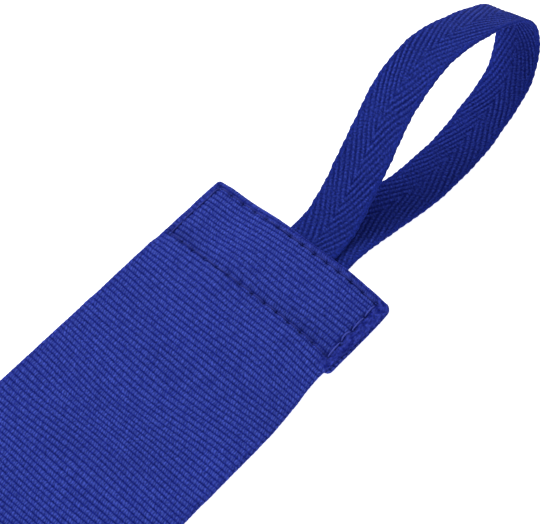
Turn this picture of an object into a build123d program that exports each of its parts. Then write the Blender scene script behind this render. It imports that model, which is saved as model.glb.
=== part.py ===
from build123d import *

"""Elastic boxing hand wrap, stored ready for use.

The band is wound from its closure end, so the hook and pile patches sit in the core of the roll.
The free end lies flat, ends in a sewn hem, and carries a thumb loop of cotton tape.
X runs along the laid band towards the thumb loop, Y across it, and Z up.
The origin is on the resting plane, under the middle of the hem's end edge.
"""

import math
import os

# Band: one woven elastic strip
BAND_LENGTH = 4500.0
BAND_WIDTH = 50.0
BAND_THICKNESS = 0.9

# Laid stretch, measured back from the hem's end edge
FREE_END_LENGTH = 110.0
LIFT_CLEARANCE = 4.0

# Hem: the band folded under once, over the tails of the thumb tape
FLAP_LENGTH = 20.0
FLAP_OVERHANG = 2.0
FLAP_OVERHANG_AT_FOLD = 0.3
FOLD_SLIT = 0.1
HEM_END_BOW = 1.0
HEM_CORNER_RADIUS_LEFT = 1.2
HEM_CORNER_RADIUS_RIGHT = 2.0
FLAP_CORNER_RADIUS = 1.5
HEM_RAMP_LENGTH = 18.0
HEM_RAMP_START_GAP = 1.5

# Thumb loop: one length of twill tape, both ends sewn under the hem
TAPE_WIDTH = 12.7
TAPE_THICKNESS = 0.8
TAPE_PLY_GAP = 0.1
TAIL_LENGTH = 19.0
UPPER_TAIL_OFFSET = -1.5
LOWER_TAIL_OFFSET = -5.0
LOOP_SWING_LIMIT = 100.0
LOOP_LEG_RISE = 15.0
LOOP_TILT = 17.5
LOOP_TILT_POWER = 0.9
LOOP_SECTIONS = 48
JOINT_CLEARANCE = 0.3

# Control points of the free loop's centreline after its root: X, Y and height above the resting plane
LOOP_POINTS = (
    (33.5, 4.0, 31.0),
    (60.5, 0.5, 24.5),
    (72.0, -1.5, 19.5),
    (67.0, -7.0, 4.5),
    (50.0, -9.0, 2.4),
    (28.0, -10.5, 1.9),
)
LOOP_ROOT_RUN_UPPER = 9.5
LOOP_ROOT_RUN_LOWER = 8.0

# Sewing thread, half round where it lies on the cloth, and stitch rows
THREAD_WIDTH = 0.5
THREAD_HEIGHT = THREAD_WIDTH / 2
STITCH_LENGTH = 2.8
STITCH_GAP = 0.6
END_ROW_INSET = 1.9
INNER_ROW_DEPTH = 17.1
LEFT_ROW_INSET = 1.8
RIGHT_ROW_INSET = 3.5

# Closure patches, in the core of the roll
PATCH_WIDTH = 46.0
HOOK_THICKNESS = 1.3
PILE_THICKNESS = 1.5
HOOK_HALF_TURNS = 3
PILE_HALF_TURNS = 4
PATCH_SEAM_INSET = 2.0
PATCH_SEAM_CLEARANCE = 0.1

# Roll: a spiral of half turns whose centres alternate on one upright line
CORE_RADIUS = 7.0
TURN_GAP = 0.1

# Heights of the stack under the hem's end, bottom to top
LOWER_TAIL_Z = THREAD_HEIGHT
UPPER_TAIL_Z = LOWER_TAIL_Z + TAPE_THICKNESS + TAPE_PLY_GAP
FLAP_Z = UPPER_TAIL_Z + TAPE_THICKNESS
HEM_LAYER_Z = FLAP_Z + BAND_THICKNESS + FOLD_SLIT
HEM_TOP_Z = HEM_LAYER_Z + BAND_THICKNESS


# ---------------------------------------------------------------- roll


def room_inside(index):
    """Room that a half turn needs between it and the one wound inside it, for cloth and closure patches."""
    room = BAND_THICKNESS + TURN_GAP
    seam_room = THREAD_HEIGHT + PATCH_SEAM_CLEARANCE
    if 2 <= index < HOOK_HALF_TURNS:
        room += HOOK_THICKNESS + seam_room
    if 2 <= index < PILE_HALF_TURNS + 2:
        room += PILE_THICKNESS + seam_room
    return room


def half_turn_radii(rolled_length):
    """Radii of the band's middle line, half turn by half turn, from the core outwards.

    The number of half turns is even, and the core radius is set so that they hold rolled_length exactly.
    """
    steps = [0.0]
    while math.pi * sum(CORE_RADIUS + step for step in steps) < rolled_length:
        index = len(steps)
        steps.append(steps[-1] + max(room_inside(index), room_inside(index + 1)) / 2)
    if len(steps) % 2:
        steps.pop()
    core = (rolled_length / math.pi - sum(steps)) / len(steps)
    return [core + step for step in steps]


def lead_length():
    """Laid length between the roll and the lift line, so that the lifted free end clears the roll."""
    return half_turn_radii(BAND_LENGTH)[-1] + BAND_THICKNESS / 2 + LIFT_CLEARANCE


LIFT_LINE_X = -FREE_END_LENGTH
ROLL_X = LIFT_LINE_X - lead_length()


def half_turns():
    """Centre height, radius and side (1 right, -1 left) of each half turn, with the roll on the plane."""
    radii = half_turn_radii(BAND_LENGTH - lead_length() - FREE_END_LENGTH - FLAP_LENGTH)
    centre_z = radii[-1] + BAND_THICKNESS / 2
    turns = []
    for index in reversed(range(len(radii))):
        side = 1 if index % 2 == 0 else -1
        turns.append((centre_z, radii[index], side))
        if index:
            shift = radii[index] - radii[index - 1]
            centre_z += -side * shift
    return list(reversed(turns))


def half_turn_arc(turn, offset):
    """One half turn moved outwards by offset, in the order in which the band is wound."""
    centre_z, radius, side = turn
    reach = radius + offset
    start = (ROLL_X, centre_z - side * reach)
    middle = (ROLL_X + side * reach, centre_z)
    end = (ROLL_X, centre_z + side * reach)
    return ThreePointArc(start, middle, end)


def spiral_strip(first, last, inner, outer, width, centre_y=0.0):
    """A strip that follows half turns first to last, between two offsets from the band's middle line."""
    turns = half_turns()[first:last]
    inside = [half_turn_arc(turn, inner) for turn in turns]
    outside = [half_turn_arc(turn, outer) for turn in turns]
    caps = [Line(inside[0] @ 0, outside[0] @ 0), Line(inside[-1] @ 1, outside[-1] @ 1)]
    profile = make_face(Wire(inside + outside + caps))
    strip = extrude(Plane.XZ * profile, amount=width / 2, both=True)
    return Pos(0, centre_y, 0) * strip


def band_roll():
    """The wound length of the band."""
    half = BAND_THICKNESS / 2
    return spiral_strip(0, len(half_turns()), -half, half, BAND_WIDTH)


def hook_patch():
    """Hook tape on the band's inner face, at its closure end."""
    face = -BAND_THICKNESS / 2
    return spiral_strip(0, HOOK_HALF_TURNS, face - HOOK_THICKNESS, face, PATCH_WIDTH)


def pile_patch():
    """Pile tape on the band's outer face, behind the hook tape."""
    face = BAND_THICKNESS / 2
    return spiral_strip(0, PILE_HALF_TURNS, face, face + PILE_THICKNESS, PATCH_WIDTH)


def patch_seams(half_turn_count, near, far):
    """Two rows of thread along the long edges of a closure patch."""
    seam_y = PATCH_WIDTH / 2 - PATCH_SEAM_INSET
    rows = []
    for side in (-1, 1):
        rows.append(spiral_strip(0, half_turn_count, near, far, THREAD_WIDTH, side * seam_y))
    return Compound(children=rows)


def hook_patch_stitching():
    """Seams that hold the hook tape, lying on its face."""
    face = -BAND_THICKNESS / 2 - HOOK_THICKNESS
    return patch_seams(HOOK_HALF_TURNS, face - THREAD_HEIGHT, face)


def pile_patch_stitching():
    """Seams that hold the pile tape, lying on its face."""
    face = BAND_THICKNESS / 2 + PILE_THICKNESS
    return patch_seams(PILE_HALF_TURNS, face, face + THREAD_HEIGHT)


# ---------------------------------------------------------------- laid band and hem


def band_lead():
    """The flat stretch between the roll and the line where the free end lifts."""
    size = (lead_length(), BAND_WIDTH, BAND_THICKNESS)
    return Pos(LIFT_LINE_X, 0, 0) * Box(*size, align=(Align.MAX, Align.CENTER, Align.MIN))


def band_height_line(base_z):
    """The laid band's side view as edges: flat on the plane, then up an S-shaped ramp onto the hem stack."""
    ramp_end = -FLAP_LENGTH - HEM_RAMP_START_GAP
    ramp_start = ramp_end - HEM_RAMP_LENGTH
    top_z = base_z + HEM_LAYER_Z
    middle = ((ramp_start + ramp_end) / 2, base_z + HEM_LAYER_Z / 2)
    start_x = LIFT_LINE_X + JOINT_CLEARANCE
    return [
        Line((start_x, base_z), (ramp_start, base_z)),
        TangentArc((ramp_start, base_z), middle, tangent=(1, 0)),
        TangentArc((ramp_end, top_z), middle, tangent=(-1, 0)),
        Line((ramp_end, top_z), (HEM_END_BOW, top_z)),
    ]


def hem_outline(start_x):
    """Plan of the band from start_x to its end: a slightly bowed end edge with rounded corners."""
    half = BAND_WIDTH / 2
    left, right = (0, half), (0, -half)
    sides = Polyline(left, (start_x, half), (start_x, -half), right)
    end = ThreePointArc(left, (HEM_END_BOW, 0), right)
    plan = make_face(Wire([*sides.edges(), end]))
    corners = plan.vertices().sort_by(Axis.X)[-2:].sort_by(Axis.Y)
    plan = fillet(corners[1], HEM_CORNER_RADIUS_LEFT)
    corner = plan.vertices().filter_by_position(Axis.Y, -half - 1, -half + 1).sort_by(Axis.X)[-1]
    return fillet(corner, HEM_CORNER_RADIUS_RIGHT)


def flap_outline():
    """Plan of the folded-under flap, which is turned a little and stands out on the right."""
    half = BAND_WIDTH / 2
    left, right = (0, half - FLAP_OVERHANG_AT_FOLD), (0, -half - FLAP_OVERHANG_AT_FOLD)
    near_left, near_right = (-FLAP_LENGTH, half - FLAP_OVERHANG), (-FLAP_LENGTH, -half - FLAP_OVERHANG)
    sides = Polyline(left, near_left, near_right, right)
    end = ThreePointArc(left, (HEM_END_BOW, 0), right)
    plan = make_face(Wire([*sides.edges(), end]))
    plan = fillet(plan.vertices().sort_by(Axis.X)[:2], FLAP_CORNER_RADIUS)
    left_corner = plan.vertices().sort_by(Axis.X)[-2:].sort_by(Axis.Y)[1]
    plan = fillet(left_corner, HEM_CORNER_RADIUS_LEFT)
    right_corner = plan.vertices().filter_by_position(Axis.Y, -2 * half, -half).sort_by(Axis.X)[-1]
    return fillet(right_corner, HEM_CORNER_RADIUS_RIGHT)


def band_free_end():
    """The laid free end: flat band, ramp, hem layer, fold and flap in one piece of cloth."""
    under, over = band_height_line(0), band_height_line(BAND_THICKNESS)
    caps = [Line(under[0] @ 0, over[0] @ 0), Line(under[-1] @ 1, over[-1] @ 1)]
    profile = make_face(Wire(under + over + caps))
    laid = extrude(Plane.XZ * profile, amount=BAND_WIDTH / 2, both=True)
    laid &= extrude(hem_outline(LIFT_LINE_X), amount=HEM_TOP_Z)
    flap = Pos(0, 0, FLAP_Z) * extrude(flap_outline(), amount=BAND_THICKNESS)
    fold_reach = BAND_THICKNESS + HEM_CORNER_RADIUS_RIGHT
    block = Pos(0, 0, FLAP_Z) * extrude(hem_outline(-fold_reach), amount=HEM_TOP_Z - FLAP_Z)
    behind = Pos(-BAND_THICKNESS, 0, FLAP_Z) * extrude(hem_outline(-2 * fold_reach), amount=HEM_TOP_Z - FLAP_Z)
    return laid + flap + (block - behind)


# ---------------------------------------------------------------- thumb tape


def loop_hinge():
    """X and Z of the line about which the loop swings: outside the hem, so that the raised legs clear it."""
    hinge_z = UPPER_TAIL_Z - TAPE_PLY_GAP / 2
    leg_half = TAPE_THICKNESS + TAPE_PLY_GAP / 2
    steepest = math.radians(LOOP_SWING_LIMIT + LOOP_LEG_RISE)
    drop = -math.cos(steepest) * (HEM_TOP_Z - hinge_z)
    return HEM_END_BOW + (leg_half + JOINT_CLEARANCE + drop) / math.sin(steepest), hinge_z


def thumb_loop_ends():
    """The two tails of the thumb tape, stacked under the flap and reaching out past the hem's end edge."""
    reach = loop_hinge()[0] - 2 * TAPE_THICKNESS - TAPE_PLY_GAP - JOINT_CLEARANCE
    tails = []
    for base_z, offset in ((LOWER_TAIL_Z, LOWER_TAIL_OFFSET), (UPPER_TAIL_Z, UPPER_TAIL_OFFSET)):
        size = (TAIL_LENGTH + reach, TAPE_WIDTH, TAPE_THICKNESS)
        tail = Box(*size, align=(Align.MAX, Align.CENTER, Align.MIN))
        tails.append(Pos(reach, offset, base_z) * tail)
    return Compound(children=tails)


def cubic_spline_point(points, share):
    """A point on the clamped uniform cubic B-spline of the control points, share 0 to 1 along it."""
    degree = 3
    spans = len(points) - degree
    knots = [0.0] * degree + [float(k) for k in range(spans + 1)] + [float(spans)] * degree
    where = min(share * spans, spans - 1e-9)
    first = int(where)
    held = [Vector(*points[first + k]) for k in range(degree + 1)]
    for level in range(1, degree + 1):
        for k in range(degree, level - 1, -1):
            low = knots[first + k]
            high = knots[first + k + degree + 1 - level]
            weight = (where - low) / (high - low)
            held[k] = held[k - 1] * (1 - weight) + held[k] * weight
    return held[degree]


def thumb_loop():
    """The free hoop of tape: a centreline, and tape sections that tilt more towards the hoop's far end."""
    root_x = loop_hinge()[0] + JOINT_CLEARANCE
    upper_z = UPPER_TAIL_Z + TAPE_THICKNESS / 2
    lower_z = LOWER_TAIL_Z + TAPE_THICKNESS / 2
    control = [
        (root_x, UPPER_TAIL_OFFSET, upper_z),
        (root_x + LOOP_ROOT_RUN_UPPER, UPPER_TAIL_OFFSET, upper_z),
        *LOOP_POINTS,
        (root_x + LOOP_ROOT_RUN_LOWER, LOWER_TAIL_OFFSET, lower_z),
        (root_x, LOWER_TAIL_OFFSET, lower_z),
    ]
    small = 1e-4
    reach = max(cubic_spline_point(control, k / LOOP_SECTIONS).X for k in range(LOOP_SECTIONS + 1))
    sections = []
    for k in range(LOOP_SECTIONS + 1):
        share = k / LOOP_SECTIONS
        centre = cubic_spline_point(control, share)
        before = cubic_spline_point(control, max(share - small, 0))
        after = cubic_spline_point(control, min(share + small, 1))
        along = (after - before).normalized()
        tilt = math.radians(LOOP_TILT) * (max(centre.X - root_x, 0) / (reach - root_x)) ** LOOP_TILT_POWER
        across = Vector(0, -math.cos(tilt), math.sin(tilt))
        across = (across - along * across.dot(along)).normalized()
        plane = Plane(origin=centre, x_dir=across, z_dir=along)
        sections.append(plane * Rectangle(TAPE_WIDTH, TAPE_THICKNESS))
    return loft(sections, ruled=True)


# ---------------------------------------------------------------- hem stitching


def stitch_bar(up):
    """One stitch lying along X, half round, its flat side on the cloth at Z 0."""
    upper_half = Pos(0, up * THREAD_HEIGHT) * Rectangle(2 * THREAD_WIDTH, 2 * THREAD_HEIGHT)
    half_round = Circle(THREAD_WIDTH / 2) & upper_half
    return extrude(Plane.YZ * half_round, amount=STITCH_LENGTH / 2, both=True)


def stitch_row(start, end, height, up=1):
    """Stitches in a line between two plan points, on cloth at a height."""
    run = math.dist(start, end)
    count = max(1, int(run / (STITCH_LENGTH + STITCH_GAP)))
    angle = math.degrees(math.atan2(end[1] - start[1], end[0] - start[0]))
    stitches = []
    for index in range(count):
        share = (index + 0.5) / count
        x = start[0] + (end[0] - start[0]) * share
        y = start[1] + (end[1] - start[1]) * share
        stitches.append(Pos(x, y, height) * Rot(0, 0, angle) * stitch_bar(up))
    return stitches


def hem_rows():
    """The box seam's four rows, as pairs of plan points."""
    left = BAND_WIDTH / 2 - LEFT_ROW_INSET
    right = -BAND_WIDTH / 2 + RIGHT_ROW_INSET
    end, inner = -END_ROW_INSET, -INNER_ROW_DEPTH
    return {
        "hem_stitch_end_row": ((end, left), (end, right)),
        "hem_stitch_inner_row": ((inner, left), (inner, right)),
        "hem_stitch_left_row": ((inner, left), (end, left)),
        "hem_stitch_right_row": ((inner, right), (end, right)),
    }


def bobbin_stitches():
    """The under thread of all four rows: on the flap, or on the tails where a row crosses them."""
    lowest_y = LOWER_TAIL_OFFSET - TAPE_WIDTH / 2
    highest_y = UPPER_TAIL_OFFSET + TAPE_WIDTH / 2
    lower_edge_y = LOWER_TAIL_OFFSET + TAPE_WIDTH / 2
    left = BAND_WIDTH / 2 - LEFT_ROW_INSET
    right = -BAND_WIDTH / 2 + RIGHT_ROW_INSET
    stitches = []
    for x in (-END_ROW_INSET, -INNER_ROW_DEPTH):
        stitches += stitch_row((x, left), (x, highest_y), FLAP_Z, -1)
        stitches += stitch_row((x, highest_y), (x, lower_edge_y), UPPER_TAIL_Z, -1)
        stitches += stitch_row((x, lower_edge_y), (x, lowest_y), LOWER_TAIL_Z, -1)
        stitches += stitch_row((x, lowest_y), (x, right), FLAP_Z, -1)
    rows = hem_rows()
    for name in ("hem_stitch_left_row", "hem_stitch_right_row"):
        stitches += stitch_row(*rows[name], FLAP_Z, -1)
    return Compound(children=stitches)


# ---------------------------------------------------------------- output


def build():
    """All nodes by name."""
    nodes = {
        "band_roll": band_roll(),
        "band_lead": band_lead(),
        "band_free_end": band_free_end(),
        "thumb_loop": thumb_loop(),
        "thumb_loop_ends": thumb_loop_ends(),
        "hook_patch": hook_patch(),
        "pile_patch": pile_patch(),
        "hook_patch_stitching": hook_patch_stitching(),
        "pile_patch_stitching": pile_patch_stitching(),
        "hem_bobbin_stitches": bobbin_stitches(),
    }
    for name, (start, end) in hem_rows().items():
        nodes[name] = Compound(children=stitch_row(start, end, HEM_TOP_Z))
    return nodes


os.makedirs("parts", exist_ok=True)
for node_name, shape in build().items():
    export_step(shape, f"parts/{node_name}.step")
turns = half_turns()
print("half turns", len(turns), "core radius", round(turns[0][1], 2), "outer radius", round(turns[-1][1], 2))
print("roll x", round(ROLL_X, 2), "lift line x", LIFT_LINE_X, "loop hinge x, z", loop_hinge())
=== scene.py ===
"""Looks of an elastic boxing hand wrap: ribbed band, sewn hem, twill thumb tape, and the stored roll.
"""

import logging
import math
from collections.abc import Callable
from dataclasses import dataclass, field
from enum import Enum
from functools import partial

import bpy
import numpy as np
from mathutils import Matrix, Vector


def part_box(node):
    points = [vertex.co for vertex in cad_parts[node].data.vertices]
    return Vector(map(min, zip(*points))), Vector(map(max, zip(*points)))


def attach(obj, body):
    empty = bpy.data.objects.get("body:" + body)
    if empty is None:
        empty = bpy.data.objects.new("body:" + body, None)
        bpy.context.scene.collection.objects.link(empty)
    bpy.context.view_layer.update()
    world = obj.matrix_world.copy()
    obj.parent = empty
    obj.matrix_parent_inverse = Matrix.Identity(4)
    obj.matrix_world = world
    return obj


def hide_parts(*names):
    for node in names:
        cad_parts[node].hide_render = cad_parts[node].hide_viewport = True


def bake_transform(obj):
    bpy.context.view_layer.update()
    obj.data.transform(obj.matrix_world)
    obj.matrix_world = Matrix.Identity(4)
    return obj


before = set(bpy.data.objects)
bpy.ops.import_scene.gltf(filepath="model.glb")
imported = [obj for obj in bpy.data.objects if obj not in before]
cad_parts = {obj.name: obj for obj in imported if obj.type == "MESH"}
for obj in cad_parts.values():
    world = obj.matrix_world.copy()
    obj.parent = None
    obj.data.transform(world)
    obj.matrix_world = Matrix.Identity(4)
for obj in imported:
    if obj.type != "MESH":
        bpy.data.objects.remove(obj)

MM = 0.001
TURN = 2 * math.pi

BAND_LENGTH = 4500.0
TAPE_WIDTH, TAPE_THICKNESS = 12.7, 0.8
TAPE_LEAN_DEG = 22.0
HINGE_BEFORE_ROOT = 0.3

CLOTH_MAP, CLOTH_MAP_MM = "Cloth", 100.0
BAKE_MAP, BAKE_CORNER, BAKE_SIZE = "OFBake", (0.003, 0.01), (0.96, 0.94)
BAKE_LANE_MARGIN = 0.02
BAKE_CAP_PLACE, BAKE_CAP_SIZE = (0.985, 0.5), 0.008
SHARE, FIRST, SECOND = 0, 6, 7  # sockets of a colour mix
NOISE_RANGE, NARROW_NOISE_RANGE = (0.3, 0.7), (0.35, 0.65)  # what a noise node's values mostly keep to

Piece = bpy.types.Object
Facets = tuple[np.ndarray, np.ndarray]

log = logging.getLogger("hand_wrap")


class Side(Enum):
    """The two faces of a strip of cloth."""

    UPPER = 1
    LOWER = -1


# ---------------------------------------------------------------- small helpers


def srgb(colour: str) -> tuple[float, float, float, float]:
    """Turns an sRGB hex colour into a linear RGBA value.

    Args:
        colour: Six hex digits with a leading hash.

    Returns:
        Linear red, green, blue and an alpha of one.
    """
    shares = [int(colour[k : k + 2], 16) / 255 for k in (1, 3, 5)]
    return (*(c / 12.92 if c <= 0.04045 else ((c + 0.055) / 1.055) ** 2.4 for c in shares), 1.0)


def smooth(share: np.ndarray | float) -> np.ndarray:
    """Smoothstep of a share, clamped from nought to one."""
    held = np.clip(share, 0.0, 1.0)
    return held * held * (3 - 2 * held)


def bell(share: np.ndarray) -> np.ndarray:
    """Bell curve, one at nought and small past two."""
    return np.exp(-(share**2))


def unit(rows: np.ndarray) -> np.ndarray:
    """Rows of numbers, each scaled to a length of one."""
    return rows / np.linalg.norm(rows, axis=1)[:, None]


def run_along(line: np.ndarray) -> np.ndarray:
    """Distance of each place on a line from its start."""
    return np.concatenate([[0], np.cumsum(np.linalg.norm(np.diff(line, axis=0), axis=1))])


def box_mm(node: str) -> np.ndarray:
    """Lowest and highest corner of a CAD node, in millimetres."""
    return np.array(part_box(node)) / MM


def add_node(tree: bpy.types.NodeTree, kind: str, inputs: tuple | dict = (), **settings) -> bpy.types.Node:
    """Adds a shader node with its settings, values and links.

    Args:
        tree: The node tree.
        kind: The node's type name after ShaderNode.
        inputs: A value, a node or a node's output for each socket, in order or by the socket's name or
            number. A node stands for its first output in use.
        **settings: Attributes of the node.

    Returns:
        The new node.
    """
    node = tree.nodes.new(f"ShaderNode{kind}")
    for name, value in settings.items():
        setattr(node, name, value)
    for socket, value in inputs.items() if isinstance(inputs, dict) else enumerate(inputs):
        if isinstance(value, bpy.types.Node):
            value = next(output for output in value.outputs if output.enabled)
        if isinstance(value, bpy.types.NodeSocket):
            tree.links.new(value, node.inputs[socket])
        else:
            node.inputs[socket].default_value = value
    return node


@dataclass(frozen=True)
class Ripple:
    """Smooth seeded unevenness of cloth, near minus one to one: a sum of plane waves with chance headings."""

    seed: int
    shortest: float
    longest: float
    waves: int = 8

    def at(self, along: np.ndarray, across: np.ndarray) -> np.ndarray:
        """Value at places on the cloth.

        Args:
            along: Distance along the strip.
            across: Distance across the strip.

        Returns:
            The ripple at each place.
        """
        chance = np.random.default_rng(self.seed)
        total = np.zeros(np.broadcast(along, across).shape)
        for _ in range(self.waves):
            length = self.shortest * (self.longest / self.shortest) ** chance.random()
            heading, phase = chance.random(2) * TURN
            wave = (along * math.cos(heading) + across * math.sin(heading)) / length
            total += np.sin(TURN * wave + phase)
        return total * math.sqrt(2 / self.waves) / 2


def clamped_spline(points: list[tuple[float, float, float]], shares: np.ndarray) -> np.ndarray:
    """Places on the clamped uniform cubic B-spline of some control points.

    Args:
        points: Control points.
        shares: Where to look, from 0 to 1 along the spline's parameter.

    Returns:
        One row of three numbers for each share.
    """
    degree = 3
    control = np.array(points)
    spans = len(points) - degree
    knots = np.concatenate([np.zeros(degree), np.arange(spans + 1), np.full(degree, spans)])
    where = np.clip(shares * spans, 0, spans - 1e-9)
    first = where.astype(int)
    held = [control[first + k] for k in range(degree + 1)]
    for level in range(1, degree + 1):
        for k in range(degree, level - 1, -1):
            low, high = knots[first + k], knots[first + k + degree + 1 - level]
            weight = ((where - low) / (high - low))[:, None]
            held[k] = held[k - 1] * (1 - weight) + held[k] * weight
    return held[degree]


# ---------------------------------------------------------------- strips of cloth as meshes


@dataclass
class Ring:
    """Cross-section of a strip: flat faces and half-round edges, as points once round."""

    width: float
    thickness: float
    upper_columns: int
    lower_columns: int
    edge_points: int = 4
    y: np.ndarray = field(init=False)
    out: np.ndarray = field(init=False)
    normal_y: np.ndarray = field(init=False)
    normal_out: np.ndarray = field(init=False)

    def __post_init__(self) -> None:
        """Works out the points and their outward normals."""
        radius, quarter = self.thickness / 2, math.pi / 2
        flat = self.width / 2 - radius
        turn = np.linspace(0, math.pi, self.edge_points + 2)[1:-1]
        upper, lower = np.full(self.upper_columns, quarter), np.full(self.lower_columns, -quarter)
        angle = np.concatenate([upper, quarter + turn, lower, turn - quarter])
        right, left = np.full(len(turn), -flat), np.full(len(turn), flat)
        across = np.linspace(flat, -flat, self.upper_columns), np.linspace(-flat, flat, self.lower_columns)
        self.normal_y, self.normal_out = np.cos(angle), np.sin(angle)
        self.y = np.concatenate([across[0], right, across[1], left]) + radius * self.normal_y
        self.out = radius * self.normal_out

    @property
    def arc(self) -> np.ndarray:
        """Distance once round the ring, with the closing length as its last number."""
        points = np.column_stack([self.y, self.out])
        return run_along(np.concatenate([points, points[:1]]))


def ring_faces(rows: int, count: int) -> np.ndarray:
    """Faces between rings of points that follow each other.

    Args:
        rows: Number of rings.
        count: Points on each ring.

    Returns:
        Four point numbers for each face, ring by ring.
    """
    row, column = np.divmod(np.arange((rows - 1) * count), count)
    here, after = row * count + column, row * count + (column + 1) % count
    return np.stack([here, after, after + count, here + count], -1)


def link(name: str, mesh: bpy.types.Mesh) -> Piece:
    """Puts a mesh into the scene.

    Args:
        name: Name of the new object.
        mesh: Its mesh.

    Returns:
        The object.
    """
    piece = bpy.data.objects.new(name, mesh)
    bpy.context.scene.collection.objects.link(piece)
    return piece


def declare(piece: Piece, body: str, slot: str, *nodes: str) -> Piece:
    """Rides a piece on one body, and hides the CAD nodes that it replaces.

    Args:
        piece: The piece.
        body: The body it rides on.
        slot: Not used.
        *nodes: CAD nodes that it replaces.

    Returns:
        The same piece.
    """
    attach(piece, body)
    if nodes:
        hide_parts(*nodes)
    return piece


def strip_object(
    name: str, rings: np.ndarray, along: np.ndarray, arc: np.ndarray, values: dict[str, np.ndarray],
    lanes: int = 1,
) -> Piece:
    """Makes a closed strip of cloth from its rings.

    Args:
        name: Name of the piece.
        rings: Places, rows by ring points by three.
        along: Distance of each row along the cloth.
        arc: Distance round the ring, one number more than it has points.
        values: Point values to keep on the mesh, rows by ring points.
        lanes: Lanes that the bake map's strip is cut into.

    Returns:
        The object, linked to the scene.
    """
    rows, count, _ = rings.shape
    places = np.concatenate([rings.reshape(-1, 3), rings[0].mean(0)[None], rings[-1].mean(0)[None]]) * MM
    quads = ring_faces(rows, count)
    row, column = np.divmod(np.arange(len(quads)), count)
    corner_row = np.stack([row, row, row + 1, row + 1], -1)
    corner_column = np.stack([column, column + 1, column + 1, column], -1)
    here, after, last = np.arange(count), (np.arange(count) + 1) % count, (rows - 1) * count
    start_fan = np.stack([np.full(count, rows * count), after, here], -1)
    end_fan = np.stack([np.full(count, rows * count + 1), last + here, last + after], -1)
    fans = np.concatenate([start_fan, end_fan])
    corners = places[quads]
    volume = sum((corners[:, 0] * np.cross(corners[:, k], corners[:, k + 1])).sum() for k in (1, 2))
    if volume < 0:
        turned = (faces[:, ::-1] for faces in (quads, fans, corner_row, corner_column))
        quads, fans, corner_row, corner_column = turned

    mesh = bpy.data.meshes.new(name)
    mesh.vertices.add(len(places))
    mesh.vertices.foreach_set("co", places.astype(np.float32).ravel())
    mesh.loops.add(quads.size + fans.size)
    mesh.loops.foreach_set("vertex_index", np.concatenate([quads.ravel(), fans.ravel()]).astype(np.int32))
    mesh.polygons.add(len(quads) + len(fans))
    starts = np.concatenate([np.arange(len(quads)) * 4, quads.size + np.arange(len(fans)) * 3])
    mesh.polygons.foreach_set("loop_start", starts.astype(np.int32))
    mesh.polygons.foreach_set("use_smooth", np.ones(len(starts), bool))
    mesh.update(calc_edges=True)
    for key, value in values.items():
        cap_values = [value[0].mean(), value[-1].mean()]
        attribute = mesh.attributes.new(key, "FLOAT", "POINT")
        attribute.data.foreach_set("value", np.append(value.ravel(), cap_values).astype(np.float32))

    s_at, a_at = along[corner_row], arc[corner_column]
    cloth_uv = np.stack([s_at, a_at], -1).reshape(-1, 2) / CLOTH_MAP_MM
    lane_rows = math.ceil((rows - 1) / lanes)
    lane = (row // lane_rows)[:, None]
    ends = along[np.minimum(np.arange(lanes + 1) * lane_rows, rows - 1)]
    v = abs(s_at - np.minimum(ends[lane], ends[lane + 1])) / abs(np.diff(ends)).max()
    u = (lane + BAKE_LANE_MARGIN + (1 - 2 * BAKE_LANE_MARGIN) * a_at / arc[-1]) / lanes
    bake_uv = np.array(BAKE_CORNER) + np.array(BAKE_SIZE) * np.stack([u, v], -1).reshape(-1, 2)
    circle = np.stack([np.cos(np.arange(fans.size)), np.sin(np.arange(fans.size))], -1)
    cap_uv = np.array(BAKE_CAP_PLACE) + BAKE_CAP_SIZE * circle
    for key, uv in ((BAKE_MAP, bake_uv), (CLOTH_MAP, cloth_uv)):
        layer = mesh.uv_layers.new(name=key)
        layer.data.foreach_set("uv", np.concatenate([uv, cap_uv]).astype(np.float32).ravel())
    mesh.uv_layers.active = mesh.uv_layers[CLOTH_MAP]
    return link(name, mesh)


def parts_object(name: str, parts: list[Facets]) -> Piece:
    """Joins many small quad meshes into one piece.

    Args:
        name: Name of the piece.
        parts: Places and four-cornered faces of each small mesh.

    Returns:
        The object, linked to the scene.
    """
    starts = np.cumsum([0] + [len(places) for places, _ in parts])
    places = np.concatenate([part_places for part_places, _ in parts]) * MM
    faces = np.concatenate([part_faces + start for (_, part_faces), start in zip(parts, starts)])
    mesh = bpy.data.meshes.new(name)
    mesh.from_pydata(places.tolist(), [], faces.tolist())
    mesh.polygons.foreach_set("use_smooth", np.ones(len(faces), bool))
    mesh.update()
    return link(name, mesh)


# ---------------------------------------------------------------- weaves


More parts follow.
